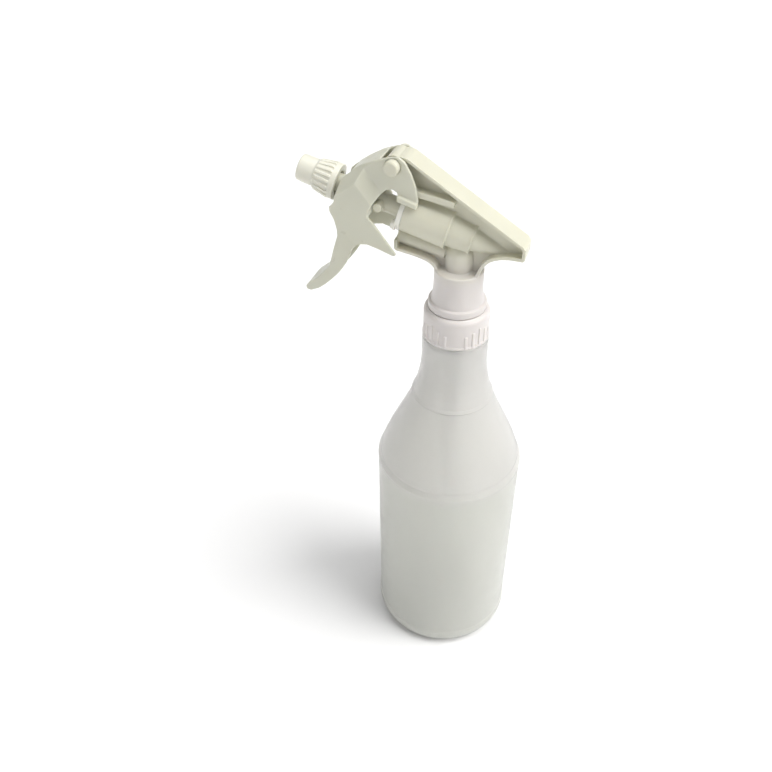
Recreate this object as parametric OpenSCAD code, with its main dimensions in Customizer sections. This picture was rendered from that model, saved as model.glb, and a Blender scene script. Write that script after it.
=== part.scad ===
// Trigger spray bottle: a blow-moulded bottle with a screwed-on trigger sprayer.
// Origin: centre of the bottle's base. +Z up, nozzle towards -X, XZ is the sprayer's mid-plane.
// The pump axis leans nose-up; parts on it are drawn along a local x that runs from nozzle to tail.

/* [Bottle] */
// Outside diameter of the bottle
bottle_d = 80; // [76:1:84]
// Height of the bottle's mouth above the base
mouth_z = 223.6; // [222.6:0.2:224.6]
// Wall thickness of the bottle
wall = 1.3; // [1:0.1:1.8]
// Height at which the shoulder meets the straight wall
shoulder_z = 124; // [116:1:128]
// Outside diameter of the neck, under the collar
neck_d = 33.4; // [33:0.1:34]
// Outside diameter of the screw finish
finish_d = 25.2; // [24.8:0.1:25.4]

/* [Collar] */
// Height of the collar's lower edge
collar_z = 213; // [212.8:0.1:213.6]
// Ribs in each of the collar's four groups
ribs_per_group = 5; // [3:2:5]

/* [Pump axis] */
// Lean of the pump axis, nose up, in degrees
tilt = 15; // [13:0.5:16]
// Height at which the pump axis crosses the bottle's centre line
axis_z = 267.8; // [267:0.2:269]
// Outside radius of the big cylinder
cyl_r = 9.5; // [9.2:0.1:9.6]
// Radius of the hollow piston rod
rod_r = 4.4; // [4:0.1:4.6]

/* [Trigger] */
// Pivot position along X
pivot_x = -30.5; // [-31:0.1:-30]
// Pivot height
pivot_z = 298.6; // [298:0.1:299]
// Trigger angle drawn, for a look at the travel only
trigger_turn = 0; // [0:1:19]

/* [Nozzle] */
// Ribs round the nozzle cap
cap_ribs = 20; // [12:1:28]

/* [Hidden] */
$fn = 96;
small = 32;

// ---- shared sizes ----
bottle_r = bottle_d / 2;
neck_r = neck_d / 2;
finish_r = finish_d / 2;
base_r = 31;
corner_r = 9;
foot_r = 27;
push_up = 3.6;
panel_low = 13;
panel_high = 129;
panel_depth = 0.45;
groove_z = 132.6;
groove_half = 1.3;
groove_depth = 0.3;
shoulder_top = 200;
crease_z = 175.5;

gasket_t = 1.4;
flange_low = mouth_z + gasket_t;
flange_t = 1.7;
lip_low = flange_low + flange_t + 0.15;
lip_top = 229;
lip_bore = 12.5;
collar_r = 16.3;
collar_bore = 13.95;
rib_proud = 0.5;

column_r = 11.9;
ring_low = 229.3;
ring_top = 232.9;
ledge_z = 249.8;
riser_r = 6.7;
riser_top = 257;
web_t = 2.2;
half_w = 6;
flange_d = 1.5;

pivot_r = 3.55;
cheek_in = 6.35;
cheek_out = 7.8;
wide_in = 10.1;
wide_out = 11.5;
window_half = 5.8;

bore_r = 7.6;
front_s = -27;
step_s = -5;
step2_s = 6.5;
cyl2_r = 8.2;
cone_r = 6.0;
bead = 0.22;
bead_w = 0.9;
apex_s = 28.3;
chamber_end = 5;
chamber_r = 5.6;
inner_r = 2.2;
trunnion_s = -39.3;
trunnion_r = 2.1;
trunnion_half = 8.3;
slot_r = 2.45;
rib_turn = -75.8;
rib_pitch = 13.4;
piston_s = -20.8;
rod_front = -72.5;
cap_back = -61.6;
cap_step = -72.6;
cap_front = -81.3;
guide_s = -29.4;
ear_y = 6;
cap_band = -64;
cap_r1 = 7;
cap_r2 = 8.3;
valve_s = -62;

// ---- helpers ----
// Places children on the pump axis, s along it from the centre line, positive to the tail.
module on_axis(s = 0) {
    translate([0, 0, axis_z])
        rotate([0, tilt, 0])
            translate([s, 0, 0])
                children();
}

// A round bar along local x from a to b.
module bar(a, b, r, r_end = -1) {
    translate([a, 0, 0])
        rotate([0, 90, 0])
            cylinder(h = b - a, r1 = r, r2 = r_end < 0 ? r : r_end);
}

// A plate whose outline is given in X and Z, from y = a to y = b.
module plate(points, a, b) {
    translate([0, b, 0])
        rotate([90, 0, 0])
            linear_extrude(height = b - a)
                polygon(points);
}

// Points of an arc, from angle a to angle b in n steps.
function arc(cx, cy, r, a, b, n) =
    [for (i = [0 : n]) [cx + r * cos(a + (b - a) * i / n), cy + r * sin(a + (b - a) * i / n)]];

// Points along a smooth curve through four control points (a cubic Bezier).
function curve(p, n) =
    [for (i = [0 : n])
        let (t = i / n, u = 1 - t)
            u * u * u * p[0] + 3 * u * u * t * p[1] + 3 * u * t * t * p[2] + t * t * t * p[3]];

function flip(points) = [for (i = [len(points) - 1 : -1 : 0]) points[i]];

// Shoulder radius at height z: a long soft S from the straight wall to the neck.
function shoulder_r(z) =
    let (t = (z - shoulder_z) / (shoulder_top - shoulder_z))
        neck_r + (bottle_r - neck_r) * (1 + cos(180 * pow(t, 0.88))) / 2;

// ---- bottle ----
function wall_outline(inset) = concat(
    arc(base_r, corner_r, corner_r - inset, -90, 0, 6),
    [[bottle_r - inset, panel_low - 1],
     [bottle_r - inset - panel_depth, panel_low],
     [bottle_r - inset - panel_depth, panel_high]],
    inset > 0 ? [] : [
        [bottle_r - 0.25, groove_z - groove_half - 1],
        [bottle_r - groove_depth, groove_z - groove_half],
        [shoulder_r(groove_z + groove_half) - groove_depth, groove_z + groove_half]],
    [for (z = [groove_z + groove_half + 1.4 : 4 : crease_z]) [shoulder_r(z) - inset, z]],
    [[shoulder_r(crease_z) - inset + 0.35, crease_z + 0.4]],
    [for (z = [crease_z + 2 : 4.5 : shoulder_top]) [shoulder_r(z) - inset, z]]);

module bottle() {
    outer = concat(
        [[0, push_up], [foot_r * 0.6, push_up * 0.85], [foot_r, 0.6], [foot_r + 1.5, 0]],
        wall_outline(0),
        [[neck_r, 211.9], [neck_r - 0.5, 212.6], [finish_r + 1.1, 212.6], [finish_r, 213.4],
         [finish_r, mouth_z - 0.4], [finish_r - 0.4, mouth_z]]);
    inner = concat(
        [[0, push_up + wall], [foot_r * 0.6, push_up * 0.85 + wall], [foot_r, 0.6 + wall],
         [foot_r + 1.5, wall]],
        wall_outline(wall),
        [[neck_r - wall, 209], [finish_r - 2, 212], [finish_r - 2, mouth_z]]);
    color([0.93, 0.93, 0.91, 0.85])
        rotate_extrude()
            polygon(concat(outer, flip(inner)));
}

// ---- sprayer body: column, riser, cylinder and the flanged web, one moulding ----
// Top face of the upper flange: straight from tail to apex.
function top_z(x) = 287.5 - 0.625 * x;

module web_outline(inset) {
    offset(delta = -inset)
        polygon(concat(
            [[30.5, 261.3], [31.2, 262.2], [31.2, 267.2], [29.8, top_z(29.8)], [-24, top_z(-24) - 0.3]],
            curve([[-25.5, 302.6], [-27.5, 303], [-31.5, 302.6], [-34.4, 300.4]], 6),
            curve([[-35.2, 300], [-35.8, 297], [-34, 294], [-32.5, 290]], 4),
            [[-30.6, 282], [-30.6, 257.4], [-29.4, 256.4]],
            curve([[-28, 256.2], [-20, 255], [-11.5, 254.2], [-10.2, 249.3]], 8),
            [[-10.2, 245], [10.2, 245], [10.2, 249.3]],
            curve([[11.4, 251.6], [13.4, 259.4], [19, 261.8], [30.5, 261.3]], 8)));
}

module web_sheet(inset, half) {
    translate([0, half, 0])
        rotate([90, 0, 0])
            linear_extrude(height = 2 * half)
                web_outline(inset);
}

module body_frame() {
    // the thin mid-plane web and the flange that runs round it
    web_sheet(0.5, web_t / 2);
    difference() {
        web_sheet(0, half_w);
        web_sheet(flange_d, half_w + 1);
        // open front of the frame, where the piston rod comes out
        plate([[-40, 299], [-29, 293], [-29, 262], [-40, 262]], -20, 20);
    }
}

module sprayer_body() {
    color([0.93, 0.92, 0.84])
        difference() {
            union() {
                body_frame();
                // neck column, flared at its foot, with the ring above the collar
                rotate_extrude()
                    polygon(concat(
                        [[0, flange_low], [13.2, flange_low], [13.2, flange_low + flange_t],
                         [12.2, flange_low + flange_t], [12.2, ring_low], [14.3, ring_low],
                         [14.3, ring_top - 0.4], [13.9, ring_top]],
                        curve([[13, ring_top + 0.2], [12.4, 235.5], [column_r, 238], [column_r, 242]], 5),
                        [[column_r, ledge_z - 0.4], [column_r - 0.4, ledge_z], [0, ledge_z]]));
                // domed riser that feeds the cylinder
                translate([0, 0, ledge_z - 1])
                    cylinder(h = riser_top - ledge_z + 1, r = riser_r);
                translate([0, 0, riser_top])
                    sphere(r = riser_r);
                // big cylinder, its two steps and the tail cone
                on_axis() {
                    bar(front_s, step_s, cyl_r);
                    bar(step_s - bead_w, step_s, cyl_r + bead);
                    bar(step_s - 0.1, step2_s, cyl2_r, cyl2_r - 1.2);
                    bar(step2_s - bead_w, step2_s, cyl2_r - 0.9);
                    bar(step2_s - 0.1, apex_s, cone_r, 0.4);
                }
                // moulded-in vent pipe along the lower front
                vent_pipe();
                // long ribs beside the cylinder's top
                plate([[-22, 288.2], [-3, 285.3], [-2.4, 284.8], [-2.6, 282.4], [-22, 285.2]],
                    -half_w, half_w);
                // pivot stubs
                translate([pivot_x, half_w, pivot_z])
                    rotate([90, 0, 0])
                        cylinder(h = 2 * half_w, r = pivot_r + 1);
                translate([pivot_x, 0, pivot_z])
                    pivot_stubs();
            }
            body_bores();
        }
}

module pivot_stubs() {
    rotate([90, 0, 0])
        rotate_extrude()
            polygon([[0, -11.2], [pivot_r - 0.7, -11.2], [pivot_r, -10.5], [pivot_r, 10.5],
                [pivot_r - 0.7, 11.2], [0, 11.2]]);
}

module vent_pipe() {
    translate([-30, 0, 262.4])
        rotate([0, 12.5, 0])
            bar(0, 24, 3.6);
}

module body_bores() {
    on_axis() {
        // clear way for the rod guide and the rod in front of the cylinder
        bar(front_s - 10, front_s, cyl_r + 0.05);
        bar(front_s - 1, step_s + 1, bore_r);
        bar(step_s, chamber_end, chamber_r);
    }
    // vertical feed bore with its wider lower part for the tube adapter
    translate([0, 0, 220])
        cylinder(h = 45, r = inner_r);
    translate([0, 0, 220])
        cylinder(h = 32, r = 5);
    // hollow underside of the column
    difference() {
        translate([0, 0, 220])
            cylinder(h = 26, r = 10.3);
        translate([0, 0, 219])
            cylinder(h = 28, r = 6.6);
    }
}

// ---- cylinder front: rod guide and its seal ----
module rod_guide() {
    color([0.95, 0.95, 0.93])
        on_axis()
            difference() {
                union() {
                    bar(guide_s, front_s - 0.05, cyl_r);
                    bar(front_s - 0.1, front_s + 3.2, bore_r - 0.02);
                    for (side = [-1, 1])
                        guide_ear(side);
                }
                bar(guide_s - 1, front_s + 5, rod_r + 0.06);
                bar(front_s + 1.2, front_s + 5, rod_r + 1.6);
            }
}

// Rounded lug on each side of the guide, by which it is pressed home, thicker below the trunnion's path.
module guide_ear(side) {
    translate([guide_s, side * ear_y, -1.6])
        rotate([0, 90, 0])
            cylinder(h = 2.3, r = 3.8);
    translate([guide_s - 1.9, side * (ear_y + 0.6), -5.3])
        rotate([0, 90, 0])
            cylinder(h = 2.4, r1 = 2.1, r2 = 2.7);
}

module guide_seal() {
    color([0.15, 0.15, 0.15])
        on_axis(front_s + 1.3)
            rotate([0, 90, 0])
                difference() {
                    cylinder(h = 1.7, r = rod_r + 1.55);
                    translate([0, 0, -1])
                        cylinder(h = 5, r = rod_r + 0.08);
                }
}

// ---- piston train ----
module piston_rod() {
    color([0.93, 0.92, 0.84])
        on_axis()
            difference() {
                union() {
                    bar(rod_front, piston_s, rod_r);
                    // boss the nozzle cap turns on
                    bar(valve_s - 4.5, valve_s - 1.9, rod_r + 1.02);
                    // trunnions that the trigger pushes
                    translate([trunnion_s, trunnion_half, 0])
                        rotate([90, 0, 0])
                            cylinder(h = 2 * trunnion_half, r = trunnion_r);
                }
                // through passage, wider at the front for the outlet valve
                bar(-90, 0, 1.5);
                bar(-90, valve_s, 2.9);
            }
}

module piston_cup() {
    color([0.9, 0.9, 0.88])
        on_axis()
            rotate([0, 90, 0])
                rotate_extrude()
                    polygon([[rod_r - 1.6, piston_s + 0.05], [rod_r, piston_s + 0.05],
                        [rod_r + 0.02, piston_s - 1.6], [bore_r - 0.1, piston_s - 2.6],
                        [bore_r - 0.06, piston_s - 1.4], [bore_r - 0.7, piston_s - 0.2],
                        [bore_r - 0.7, piston_s + 2], [bore_r - 0.06, piston_s + 3.4],
                        [bore_r - 0.1, piston_s + 4.6], [bore_r - 0.9, piston_s + 4.6],
                        [rod_r + 1.2, piston_s + 2.4], [rod_r - 1.6, piston_s + 2.4]]);
}

// A helical wire of n turns round local x, from s = a to s = b.
module coil(a, b, r, wire, turns, sides = 6) {
    steps = turns * 12;
    points = [for (i = [0 : steps])
        let (ang = 360 * turns * i / steps, c = cos(ang), s = sin(ang), x = a + (b - a) * i / steps)
            for (k = [0 : sides - 1])
                let (q = 360 * k / sides, w = wire * cos(q))
                    [x + wire * sin(q), (r + w) * c, (r + w) * s]];
    rings = steps + 1;
    faces = concat(
        [[for (k = [0 : sides - 1]) k]],
        [[for (k = [sides - 1 : -1 : 0]) (rings - 1) * sides + k]],
        [for (i = [0 : steps - 1]) for (k = [0 : sides - 1])
            [i * sides + k, (i + 1) * sides + k, (i + 1) * sides + (k + 1) % sides,
             i * sides + (k + 1) % sides]]);
    polyhedron(points, faces);
}

module return_spring() {
    color("silver")
        on_axis()
            coil(piston_s + 2.95, chamber_end - 0.55, 4.4, 0.5, 8);
}

module outlet_seat() {
    color([0.95, 0.95, 0.93])
        on_axis()
            difference() {
                bar(valve_s - 2.4, valve_s - 0.1, 2.85);
                bar(valve_s - 3, valve_s, 1.1);
            }
}

module outlet_ball() {
    color("silver")
        on_axis(valve_s - 3.6)
            sphere(r = 1.6);
}

module outlet_spring() {
    color("silver")
        on_axis()
            coil(valve_s - 9.3, valve_s - 6.35, 1.5, 0.25, 4);
}

module swirl_insert() {
    color([0.95, 0.95, 0.93])
        on_axis()
            difference() {
                union() {
                    bar(rod_front - 0.5, rod_front + 0.9, 2.85);
                    bar(rod_front - 3, rod_front - 0.4, 1.9);
                }
                bar(rod_front - 1.5, rod_front + 2, 0.8);
                for (side = [-1, 1])
                    translate([rod_front - 3.5, side * 1.9 - 0.4, -0.4])
                        cube([2.4, 0.8, 0.8]);
            }
}

module nozzle_seal() {
    color([0.15, 0.15, 0.15])
        on_axis(rod_front + 4)
            rotate([0, 90, 0])
                rotate_extrude()
                    translate([rod_r + 0.55, 0])
                        circle(r = 0.5, $fn = small);
}

module nozzle_cap() {
    color([0.93, 0.92, 0.84])
        on_axis()
            difference() {
                union() {
                    bar(cap_front + 0.5, cap_step, 6.3, 6.5);
                    bar(cap_front, cap_front + 0.55, 5.8, 6.3);
                    bar(cap_step - 0.6, cap_step, 6.5, cap_r1);
                    bar(cap_step, cap_band, cap_r1, cap_r2);
                    bar(cap_band - 0.4, cap_back, cap_r2 + 0.2, cap_r2 + 0.3);
                    for (i = [0 : cap_ribs - 1])
                        rotate([360 * i / cap_ribs, 0, 0])
                            cap_rib();
                }
                // room for the rod's end and the swirl insert, then the orifice
                bar(rod_front - 0.7, cap_back + 1, rod_r + 1.1);
                bar(rod_front - 3.5, rod_front - 0.5, 3.2);
                bar(cap_front - 1, rod_front - 3, 0.6);
                bar(cap_front - 0.5, cap_front + 1, 3.4, 2.2);
            }
}

// Grip rib: follows the cap's cone, rounded down at its front end.
module cap_rib() {
    plate([[cap_step, 6], [cap_step, cap_r1 + 0.1], [cap_step + 0.6, cap_r1 + 0.45],
        [cap_band - 0.9, cap_r2 + 0.5], [cap_band, cap_r2 + 0.1], [cap_band, 6]], -0.55, 0.55);
}

// ---- feed from the bottle ----
module tube_adapter() {
    color([0.95, 0.95, 0.93])
        difference() {
            union() {
                translate([0, 0, flange_low - 1.5])
                    cylinder(h = 18.5, r = 4.95);
                translate([0, 0, flange_low - 1.6])
                    cylinder(h = 1.5, r = 6.4);
            }
            translate([0, 0, 220])
                cylinder(h = 17, r = 3.2);
            translate([0, 0, 230])
                cylinder(h = 20, r = 1.6);
            translate([0, 0, 239])
                cylinder(h = 4, r1 = 1.6, r2 = 3.4);
        }
}

module intake_ball() {
    color("silver")
        translate([0, 0, 240.85])
            sphere(r = 2.2);
}

module ball_cage() {
    color([0.95, 0.95, 0.93])
        difference() {
            translate([0, 0, 242.1])
                cylinder(h = 7, r = 4.95);
            translate([0, 0, 241])
                cylinder(h = 6, r = 3.4);
            for (turn = [0, 90])
                rotate([0, 0, turn])
                    translate([-3.4, -0.7, 244])
                        cube([6.8, 1.4, 7]);
        }
}

module dip_tube() {
    color([0.94, 0.94, 0.92, 0.9])
        difference() {
            translate([0, 0, 9])
                cylinder(h = 226, r = 3.15);
            translate([0, 0, 8])
                cylinder(h = 230, r = 2.2);
            // slanted lower end
            translate([0, 0, 7])
                rotate([0, 40, 0])
                    translate([-10, -10, -10])
                        cube([20, 20, 10]);
        }
}

module neck_gasket() {
    color([0.9, 0.9, 0.86])
        translate([0, 0, mouth_z + 0.05])
            difference() {
                cylinder(h = gasket_t - 0.1, r = 12.9);
                translate([0, 0, -1])
                    cylinder(h = gasket_t + 2, r = 9.5);
            }
}

// ---- collar ----
module collar() {
    color([0.95, 0.94, 0.93])
        union() {
            rotate_extrude()
                polygon([[collar_bore, collar_z], [collar_r + 0.4, collar_z], [collar_r + 0.4, collar_z + 1.1],
                    [collar_r, collar_z + 1.4], [collar_r, 226.6], [collar_r - 0.25, 227.6],
                    [collar_r - 0.9, 228.4], [14.9, 228.6], [14.7, lip_top], [lip_bore, lip_top],
                    [lip_bore, lip_low], [collar_bore, lip_low]]);
            for (quarter = [0 : 3])
                for (i = [0 : ribs_per_group - 1])
                    collar_rib(rib_turn + quarter * 90 + 45 + (i - (ribs_per_group - 1) / 2) * rib_pitch,
                        abs(i - (ribs_per_group - 1) / 2));
        }
}

module collar_rib(turn, place) {
    top = 10.2 - 1.6 * place;
    rotate([0, 0, turn])
        translate([collar_r - 0.5, -0.6, collar_z + 0.3])
            cube([rib_proud + 0.5, 1.2, top]);
}

// ---- trigger ----
trigger_side = concat(
    [[-28, 303.2], [-33.5, 302.2], [-40, 299.8], [-46, 296.7], [-51.5, 292.9], [-55.3, 289.4],
     [-57, 284], [-58.2, 278.2], [-60.4, 276.4], [-60.4, 274.6], [-58.3, 270.5], [-57.3, 266]],
    curve([[-57.2, 262], [-58.5, 258], [-60.6, 252.5], [-61.6, 248.5]], 4),
    curve([[-63.2, 243.6], [-66, 239], [-70, 235], [-75.2, 231]], 5),
    [[-77, 228.8], [-76.6, 227], [-74.3, 226.6]],
    curve([[-70, 228.6], [-61.5, 235], [-55, 243.5], [-51.5, 251.5]], 6),
    [[-49.7, 256.2], [-46.9, 259.3], [-42, 260.2], [-36, 258.6], [-28.9, 256.2], [-27.7, 257.2]],
    [[-38, 270.5], [-42.3, 275.2], [-38.9, 281], [-36, 285], [-33.5, 287.2], [-31, 287.8],
     [-28.4, 286.6], [-28, 283.2], [-18.9, 280.6], [-18.6, 284], [-19.6, 290], [-21.9, 296],
     [-24.9, 301.2]]);

trigger_hollow = [[-30, 312], [-36.6, 308], [-36.6, 299.9], [-40.6, 298.5], [-46.8, 295.3], [-50.6, 292.4],
    [-53, 299], [-68, 292], [-68, 277.9], [-58.4, 277.9], [-56.6, 275.6], [-56.2, 270], [-55.3, 266],
    [-55.6, 261.5], [-58.6, 253.3], [-59.7, 248], [-62.2, 242.2], [-66.2, 237.3], [-70.8, 233.2],
    [-71.3, 230.6], [-68, 222], [-40, 224], [-10, 250], [-10, 312]];

// Half-width of the trigger against distance down its flare, as an outline seen from its edge.
function flare(narrow, wide, tip) = [
    [-40, -narrow], [-40, narrow], [-3, narrow], [3.5, wide], [24, wide], [48, tip], [80, tip],
    [80, -tip], [48, -tip], [24, -wide], [3.5, -wide], [-3, -narrow]];

// The flare's outline swept square to its own slope.
module flare_block(points) {
    translate([-43, 0, 290])
        rotate([0, 51.5, 0])
            rotate([90, 0, 0])
                rotate([0, 90, 0])
                    translate([0, 0, -70])
                        linear_extrude(height = 140)
                            rotate(-90)
                                polygon(points);
}

module trigger() {
    color([0.92, 0.92, 0.86])
        translate([pivot_x, 0, pivot_z])
            rotate([0, -trigger_turn, 0])
                translate([-pivot_x, 0, -pivot_z])
                    trigger_shape();
}

// Everything beyond the plane that bevels the hood down into a cheek, moved in by inset.
module hood_bevel(side, inset) {
    scale([1, side, 1])
        translate([-38, cheek_out, 300.8])
            rotate([0, 52.8, 125.5])
                translate([-60, -60, -inset])
                    cube([120, 120, 90]);
}

// Inner pad on each cheek, notched for the rod's trunnion.
module trunnion_pad(side) {
    inner = cheek_in - 0.6;
    low = side > 0 ? inner : -wide_out;
    high = side > 0 ? wide_out : -inner;
    trunnion = [trunnion_s * cos(tilt), axis_z - trunnion_s * sin(tilt)];
    difference() {
        intersection() {
            plate([[-46, 274.5], [-41.3, 274], [-39.8, 279], [-38.6, 283], [-40.4, 284.4], [-46, 281]],
                low, high);
            flare_block(flare(cheek_out - 0.3, wide_out - 0.3, 8));
        }
        hull()
            for (at = [[0, 0], [-0.27, -0.75], [5, -1]])
                translate([trunnion[0] + at[0], 0, trunnion[1] + at[1]])
                    rotate([90, 0, 0])
                        cylinder(h = 40, r = slot_r, center = true, $fn = small);
    }
}

module trigger_shape() {
    difference() {
        union() {
            for (side = [-1, 1])
                trunnion_pad(side);
            difference() {
                intersection() {
                    plate(trigger_side, -20, 20);
                    flare_block(flare(cheek_out, wide_out, 8));
                }
                for (side = [-1, 1])
                    hood_bevel(side, 0);
                difference() {
                    intersection() {
                        plate(trigger_hollow, -20, 20);
                        flare_block(flare(cheek_in, wide_in, 6.4));
                    }
                    for (side = [-1, 1])
                        hood_bevel(side, 1.4);
                }
            }
            // stiffening rib along each cheek's lower edge
            for (side = [-1, 1])
                translate([0, side * (cheek_out + 0.9), 0])
                    plate([[-28, 285.8], [-28, 283.2], [-18.9, 280.6], [-18.7, 283]], -1, 1);
        }
        translate([pivot_x, 0, pivot_z])
            rotate([90, 0, 0])
                cylinder(h = 40, r = pivot_r + 0.05, center = true);
        // way for the rod under the hood's front edge
        translate([-70, -window_half, 282])
            cube([19.4, 2 * window_half, 20]);
    }
}

bottle();
sprayer_body();
rod_guide();
guide_seal();
return_spring();
tube_adapter();
ball_cage();
intake_ball();
dip_tube();
neck_gasket();
collar();
piston_rod();
piston_cup();
outlet_seat();
outlet_ball();
outlet_spring();
swirl_insert();
nozzle_seal();
nozzle_cap();
trigger();
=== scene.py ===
import math

import bpy
from mathutils import Matrix, Vector


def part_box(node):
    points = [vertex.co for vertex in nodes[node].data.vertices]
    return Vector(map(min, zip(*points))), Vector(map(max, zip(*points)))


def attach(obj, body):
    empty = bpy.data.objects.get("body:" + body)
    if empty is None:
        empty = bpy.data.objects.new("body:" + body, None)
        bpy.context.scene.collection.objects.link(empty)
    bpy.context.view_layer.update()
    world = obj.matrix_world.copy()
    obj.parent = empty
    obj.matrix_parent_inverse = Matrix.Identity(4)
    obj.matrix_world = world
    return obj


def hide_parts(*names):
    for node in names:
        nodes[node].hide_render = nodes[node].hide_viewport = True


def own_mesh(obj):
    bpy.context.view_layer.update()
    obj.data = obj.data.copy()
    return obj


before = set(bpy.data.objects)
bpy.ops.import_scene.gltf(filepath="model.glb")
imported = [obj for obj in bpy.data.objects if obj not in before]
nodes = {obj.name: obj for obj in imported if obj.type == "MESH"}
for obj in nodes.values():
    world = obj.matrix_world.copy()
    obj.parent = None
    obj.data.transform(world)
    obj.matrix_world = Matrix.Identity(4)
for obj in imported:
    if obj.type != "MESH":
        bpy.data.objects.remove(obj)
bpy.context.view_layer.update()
scene = bpy.context.scene

MM = 0.001
PUMP_LEAN = math.radians(15)
AXIS_HEIGHT = 267.8 * MM  # height of the pump axis where it crosses the bottle's centre line
MOUTH_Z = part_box("bottle")[1].z
FINISH_R = 12.6 * MM


# ---- small helpers -------------------------------------------------------------------------
def link(obj):
    scene.collection.objects.link(obj)
    return obj


def mesh_object(name, verts, faces, smooth=True):
    mesh = bpy.data.meshes.new(name)
    mesh.from_pydata(verts, [], faces)
    mesh.validate()
    if smooth:
        mesh.shade_smooth()
    return link(bpy.data.objects.new(name, mesh))


def paint(obj, material):
    """Gives every face of obj this one material."""
    obj.data.materials.clear()
    obj.data.materials.append(material)


def smooth_by_angle(obj, degrees):
    obj.data.shade_smooth()
    obj.data.set_sharp_from_angle(angle=math.radians(degrees))


def soften(obj, voxel, rounds):
    """Rebuilds the skin in small even faces and relaxes it, which rounds every moulded edge."""
    skin = obj.modifiers.new("even_skin", "REMESH")
    skin.mode = "VOXEL"
    skin.voxel_size = voxel
    skin.use_smooth_shade = True
    relax = obj.modifiers.new("rounded_edges", "SMOOTH")
    relax.factor = 0.5
    relax.iterations = rounds


def on_pump_axis(s, y=0.0, z=0.0):
    """A point s along the leaning pump axis, with y and z square to it."""
    along, across = math.cos(PUMP_LEAN), math.sin(PUMP_LEAN)
    return Vector((s * along + z * across, y, AXIS_HEIGHT - s * across + z * along))


# ---- materials -----------------------------------------------------------------------------
CREAM = (0.64, 0.63, 0.515)
COOL_WHITE = (0.68, 0.645, 0.625)
TRIGGER_CREAM = (0.61, 0.61, 0.51)
NOZZLE_CREAM = (0.70, 0.69, 0.60)
HDPE_UPPER = (0.94, 0.93, 0.905)
HDPE_LOWER = (0.92, 0.925, 0.875)
CLOUD_SHADE = 0.965  # how dark the flow clouds get, as a share of the plastic's own colour
GROOVE_BLEND = (0.124, 0.134)  # heights between which the bottle's two tints meet
NECK_BLEND = (0.244, 0.262)  # heights between which the neck's white turns to cream


def principled(name, color, roughness, **inputs):
    mat = bpy.data.materials.new(name)
    mat.use_nodes = True
    shader = mat.node_tree.nodes["Principled BSDF"]
    shader.inputs["Base Color"].default_value = (*color, 1)
    shader.inputs["Roughness"].default_value = roughness
    for key, value in inputs.items():
        shader.inputs[key.replace("_", " ")].default_value = value
    return mat, mat.node_tree, shader


def noise(tree, scale, detail=3.0, roughness=0.5, stretch=(1, 1, 1)):
    """Noise in object space, scale in features per metre."""
    coords = tree.nodes.new("ShaderNodeTexCoord")
    mapping = tree.nodes.new("ShaderNodeMapping")
    mapping.inputs["Scale"].default_value = stretch
    tex = tree.nodes.new("ShaderNodeTexNoise")
    tex.inputs["Scale"].default_value = scale
    tex.inputs["Detail"].default_value = detail
    tex.inputs["Roughness"].default_value = roughness
    tree.links.new(coords.outputs["Object"], mapping.inputs["Vector"])
    tree.links.new(mapping.outputs["Vector"], tex.inputs["Vector"])
    return tex.outputs["Fac"]


def ramp(tree, fac, low, high, start=0.3, end=0.7):
    node = tree.nodes.new("ShaderNodeValToRGB")
    node.color_ramp.elements[0].position = start
    node.color_ramp.elements[1].position = end
    node.color_ramp.elements[0].color = (*low, 1)
    node.color_ramp.elements[1].color = (*high, 1)
    tree.links.new(fac, node.inputs["Fac"])
    return node.outputs["Color"]


def spread(tree, fac, low, high):
    node = tree.nodes.new("ShaderNodeMapRange")
    node.inputs["From Min"].default_value = 0.3
    node.inputs["From Max"].default_value = 0.7
    node.inputs["To Min"].default_value = low
    node.inputs["To Max"].default_value = high
    tree.links.new(fac, node.inputs["Value"])
    return node.outputs["Result"]


def bump(tree, shader, height, strength, distance):
    node = tree.nodes.new("ShaderNodeBump")
    node.inputs["Strength"].default_value = strength
    node.inputs["Distance"].default_value = distance
    tree.links.new(height, node.inputs["Height"])
    tree.links.new(node.outputs["Normal"], shader.inputs["Normal"])


def by_height(tree, low_color, high_color, low_z, high_z):
    """A colour that turns from low_color below low_z to high_color above high_z."""
    coords = tree.nodes.new("ShaderNodeTexCoord")
    split = tree.nodes.new("ShaderNodeSeparateXYZ")
    tree.links.new(coords.outputs["Object"], split.inputs["Vector"])
    height = tree.nodes.new("ShaderNodeMapRange")
    height.inputs["From Min"].default_value = low_z
    height.inputs["From Max"].default_value = high_z
    tree.links.new(split.outputs["Z"], height.inputs["Value"])
    blend = tree.nodes.new("ShaderNodeMix")
    blend.data_type = "RGBA"
    blend.inputs["A"].default_value = (*low_color, 1)
    blend.inputs["B"].default_value = (*high_color, 1)
    tree.links.new(height.outputs["Result"], blend.inputs["Factor"])
    return blend.outputs["Result"]


def multiplied(tree, first, second):
    node = tree.nodes.new("ShaderNodeMix")
    node.data_type = "RGBA"
    node.blend_type = "MULTIPLY"
    node.inputs["Factor"].default_value = 1.0
    tree.links.new(first, node.inputs["A"])
    tree.links.new(second, node.inputs["B"])
    return node.outputs["Result"]


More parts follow.
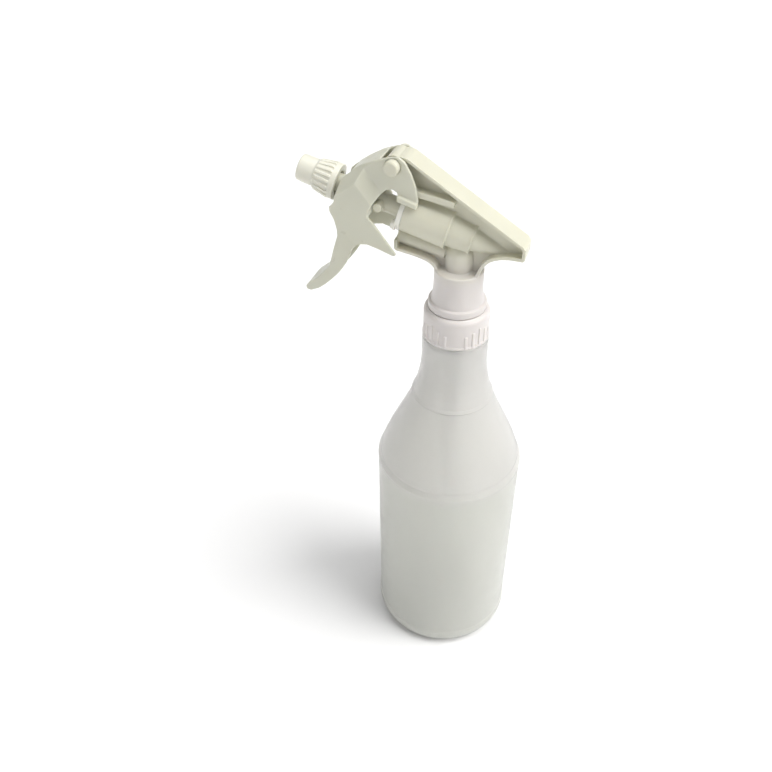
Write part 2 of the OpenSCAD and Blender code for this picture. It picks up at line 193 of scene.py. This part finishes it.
def moulded_plastic(name, color, roughness=0.34, glow=0.3, grain=0.12, neck_color=None):
    """Opaque injection-moulded plastic: soft flow clouds, uneven polish and a fine skin texture."""
    mat, tree, shader = principled(name, color, roughness, Subsurface_Weight=glow,
                                   Subsurface_Scale=0.0025, IOR=1.49)
    shader.inputs["Subsurface Radius"].default_value = (1.0, 0.9, 0.7)
    if neck_color:
        shades = by_height(tree, neck_color, color, *NECK_BLEND)
        clouds = ramp(tree, noise(tree, 55), (CLOUD_SHADE,) * 3, (1, 1, 1))
        tree.links.new(multiplied(tree, shades, clouds), shader.inputs["Base Color"])
    else:
        darker = tuple(c * CLOUD_SHADE for c in color)
        tree.links.new(ramp(tree, noise(tree, 55), darker, color), shader.inputs["Base Color"])
    tree.links.new(spread(tree, noise(tree, 240), roughness - 0.05, roughness + 0.07),
                   shader.inputs["Roughness"])
    bump(tree, shader, noise(tree, 2600, 4), grain, 0.0001)
    return mat


def natural_hdpe(name):
    """Milky blow-moulded bottle wall: cloudy, satin, slightly yellower below the groove."""
    mat, tree, shader = principled(name, HDPE_UPPER, 0.3, Transmission_Weight=0.65, IOR=1.45,
                                   Coat_Weight=0.25, Coat_Roughness=0.22)
    shades = by_height(tree, HDPE_LOWER, HDPE_UPPER, *GROOVE_BLEND)
    streaks = ramp(tree, noise(tree, 60, 4, 0.55, (1, 1, 0.28)), (0.965, 0.965, 0.96), (1, 1, 1))
    tree.links.new(multiplied(tree, shades, streaks), shader.inputs["Base Color"])
    tree.links.new(spread(tree, noise(tree, 150), 0.30, 0.43), shader.inputs["Roughness"])
    bump(tree, shader, noise(tree, 300, 5, 0.6, (1, 1, 0.4)), 0.16, 0.0004)
    return mat


def metal(name, color, roughness):
    mat, tree, shader = principled(name, color, roughness, Metallic=1.0)
    tree.links.new(spread(tree, noise(tree, 900), roughness - 0.06, roughness + 0.1),
                   shader.inputs["Roughness"])
    bump(tree, shader, noise(tree, 3000), 0.08, 0.00005)
    return mat


def rubber(name, color):
    mat, tree, shader = principled(name, color, 0.7)
    lighter = tuple(c * 1.35 + 0.01 for c in color)
    tree.links.new(ramp(tree, noise(tree, 500), color, lighter), shader.inputs["Base Color"])
    bump(tree, shader, noise(tree, 2000), 0.25, 0.0001)
    return mat


def milky_tube(name):
    mat, tree, shader = principled(name, (0.86, 0.86, 0.83), 0.28, Subsurface_Weight=0.3,
                                   Subsurface_Scale=0.002, Transmission_Weight=0.25, IOR=1.45)
    tree.links.new(ramp(tree, noise(tree, 120, 3, 0.5, (1, 1, 0.1)), (0.82, 0.82, 0.79),
                        (0.88, 0.88, 0.86)), shader.inputs["Base Color"])
    bump(tree, shader, noise(tree, 500, 3, 0.5, (1, 1, 0.05)), 0.15, 0.0002)
    return mat


body_plastic = moulded_plastic("body_plastic", CREAM, neck_color=COOL_WHITE)
trigger_plastic = moulded_plastic("trigger_plastic", TRIGGER_CREAM, 0.32)
nozzle_plastic = moulded_plastic("nozzle_plastic", NOZZLE_CREAM, 0.33)
collar_plastic = moulded_plastic("collar_plastic", COOL_WHITE, 0.36)
white_plastic = moulded_plastic("white_plastic", (0.80, 0.79, 0.72), 0.38)
bottle_plastic = natural_hdpe("natural_hdpe")
steel = metal("spring_steel", (0.70, 0.70, 0.72), 0.22)
seal_rubber = rubber("seal_rubber", (0.02, 0.02, 0.021))
gasket_foam = rubber("gasket_foam", (0.72, 0.71, 0.67))
tube_plastic = milky_tube("tube_plastic")

FINISHES = {
    "bottle": bottle_plastic,
    "sprayer_body": body_plastic,
    "piston_rod": body_plastic,
    "trigger": trigger_plastic,
    "nozzle_cap": nozzle_plastic,
    "collar": collar_plastic,
    "rod_guide": white_plastic,
    "piston_cup": white_plastic,
    "tube_adapter": white_plastic,
    "ball_cage": white_plastic,
    "outlet_seat": white_plastic,
    "swirl_insert": white_plastic,
    "dip_tube": tube_plastic,
    "neck_gasket": gasket_foam,
    "guide_seal": seal_rubber,
    "nozzle_seal": seal_rubber,
    "return_spring": steel,
    "outlet_spring": steel,
    "intake_ball": steel,
    "outlet_ball": steel,
}
CREASE_DEG = 32
for node_name, finish in FINISHES.items():
    paint(nodes[node_name], finish)
    smooth_by_angle(nodes[node_name], CREASE_DEG)

# ---- moulded edges -------------------------------------------------------------------------
# node: (voxel size, rounds of relaxing); more rounds give a rounder edge
EDGE_ROUNDING = {
    "trigger": (0.28 * MM, 9),
    "sprayer_body": (0.24 * MM, 2),
    "nozzle_cap": (0.16 * MM, 3),
    "collar": (0.20 * MM, 2),
    "rod_guide": (0.22 * MM, 5),
    "piston_rod": (0.22 * MM, 3),
}
for node_name, (voxel, rounds) in EDGE_ROUNDING.items():
    soften(nodes[node_name], voxel, rounds)


# ---- screw thread on the bottle's finish ---------------------------------------------------
def screw_thread(name, root_r, depth, width, z_low, pitch, turns, steps_per_turn=72):
    """A raised rounded thread of so many turns, fading out at both ends."""
    flank = [(-0.5, -0.15), (-0.32, 0.55), (-0.14, 0.95)]
    profile = flank + [(-across, out) for across, out in reversed(flank)]
    count = int(turns * steps_per_turn)
    verts, faces = [], []
    for i in range(count + 1):
        t = i / count
        angle = 2 * math.pi * turns * t
        fade = min(1.0, 9 * t, 9 * (1 - t)) ** 0.5
        for across, out in profile:
            r = root_r + depth * (out * fade if out > 0 else out)
            z = z_low + pitch * turns * t + width * across * (0.4 + 0.6 * fade)
            verts.append((r * math.cos(angle), r * math.sin(angle), z))
    n = len(profile)
    for i in range(count):
        for k in range(n):
            a, b = i * n + k, i * n + (k + 1) % n
            faces.append((a, b, b + n, a + n))
    faces.append(tuple(range(n - 1, -1, -1)))
    faces.append(tuple(range(count * n, count * n + n)))
    return mesh_object(name, verts, faces)


thread = screw_thread("bottle_thread", root_r=FINISH_R, depth=1.0 * MM, width=2.3 * MM,
                      z_low=MOUTH_Z - 7.4 * MM, pitch=3.2 * MM, turns=1.5)
paint(thread, bottle_plastic)
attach(thread, "bottle")


# ---- return spring, a wire coil that rides with the head -----------------------------------
def pump_spring(name, front_s, rear_s, coil_r, wire_r, turns, steps_per_turn=28, sides=8):
    """A wire coil round the pump axis, with a flat closing turn at each end."""
    count = int(turns * steps_per_turn)
    verts, faces = [], []
    for i in range(count + 1):
        t = i / count
        turned = turns * t
        along = min(max((turned - 1) / (turns - 2), 0), 1)
        closing = 0.05 * min(turned, 1) + 0.05 * max(turned - turns + 1, 0)
        s = front_s + (rear_s - front_s) * (closing + 0.9 * along)
        angle = 2 * math.pi * turned
        for k in range(sides):
            around = 2 * math.pi * k / sides
            r = coil_r + wire_r * math.cos(around)
            ring_s = s + wire_r * math.sin(around)
            verts.append(on_pump_axis(ring_s, r * math.cos(angle), r * math.sin(angle)))
    for i in range(count):
        for k in range(sides):
            a, b = i * sides + k, i * sides + (k + 1) % sides
            faces.append((a, a + sides, b + sides, b))
    faces.append(tuple(range(sides)))
    faces.append(tuple(range(count * sides + sides - 1, count * sides - 1, -1)))
    return mesh_object(name, verts, faces)


SPRING_FRONT = -17.8 * MM
SPRING_REAR = 4.4 * MM
SPRING_R = 4.4 * MM
SPRING_WIRE = 0.5 * MM
coil = pump_spring("return_spring_coil", SPRING_FRONT, SPRING_REAR, SPRING_R, SPRING_WIRE, 8)
paint(coil, steel)
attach(coil, "head")
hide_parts("return_spring")
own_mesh(coil)

# ---- floor, light, camera ------------------------------------------------------------------
bpy.ops.mesh.primitive_plane_add(size=30, location=(0, 0, 0))
floor = bpy.context.object
floor.name = "floor"
floor_mat, floor_tree, floor_shader = principled("floor_paper", (0.84, 0.84, 0.84), 0.9)
paint(floor, floor_mat)


def soft_sun(name, toward, strength, spread_deg, color=(1, 1, 1)):
    """Even light from the direction toward, as from a large softbox far away."""
    data = bpy.data.lights.new(name, "SUN")
    data.energy = strength
    data.angle = math.radians(spread_deg)
    data.color = color
    lamp = link(bpy.data.objects.new(name, data))
    lamp.rotation_euler = Vector(toward).to_track_quat("Z", "Y").to_euler()


soft_sun("key_light", (0.85, 0.0, 0.90), 2.75, 42, (1, 0.995, 0.985))
soft_sun("top_light", (0.10, 0.10, 1.0), 1.25, 50)

BOTTLE_MIDDLE = Vector((0, 0, 0.16))
softbox_data = bpy.data.lights.new("softbox", "AREA")
softbox_data.shape = "RECTANGLE"
softbox_data.size = 0.25
softbox_data.size_y = 0.6
softbox_data.energy = 0.8
softbox = link(bpy.data.objects.new("softbox", softbox_data))
softbox.location = (-0.55, -0.65, 0.75)
to_bottle = BOTTLE_MIDDLE - softbox.location
softbox.rotation_euler = to_bottle.to_track_quat("-Z", "Y").to_euler()

# The camera sees a white wall, while everything else is lit by this dimmer even light.
AMBIENT = 0.33
world = bpy.data.worlds.new("studio")
scene.world = world
world.use_nodes = True
sky = world.node_tree
ambient = sky.nodes["Background"]
ambient.inputs["Color"].default_value = (1, 1, 1, 1)
ambient.inputs["Strength"].default_value = AMBIENT
white_wall = sky.nodes.new("ShaderNodeBackground")
white_wall.inputs["Color"].default_value = (1, 1, 1, 1)
seen = sky.nodes.new("ShaderNodeLightPath")
choose = sky.nodes.new("ShaderNodeMixShader")
sky.links.new(seen.outputs["Is Camera Ray"], choose.inputs[0])
sky.links.new(ambient.outputs[0], choose.inputs[1])
sky.links.new(white_wall.outputs[0], choose.inputs[2])
sky.links.new(choose.outputs[0], sky.nodes["World Output"].inputs["Surface"])
scene.view_settings.view_transform = "Standard"

CAMERA_AT = Vector((0.078779, -0.319080, 0.445193))
LOOK = Vector((-0.264780, 0.727478, -0.632983)).normalized()
ROLL = math.radians(-0.593)
side = LOOK.cross(Vector((0, 0, 1))).normalized()
above = side.cross(LOOK)
side, above = (side * math.cos(ROLL) + above * math.sin(ROLL),
               above * math.cos(ROLL) - side * math.sin(ROLL))
camera_data = bpy.data.cameras.new("camera")
camera_data.sensor_width = 36
camera_data.lens = 37.30
camera_data.clip_start = 0.01
camera = link(bpy.data.objects.new("camera", camera_data))
turn = Matrix((side, above, -LOOK)).transposed().to_4x4()
camera.matrix_world = Matrix.Translation(CAMERA_AT) @ turn
scene.camera = camera
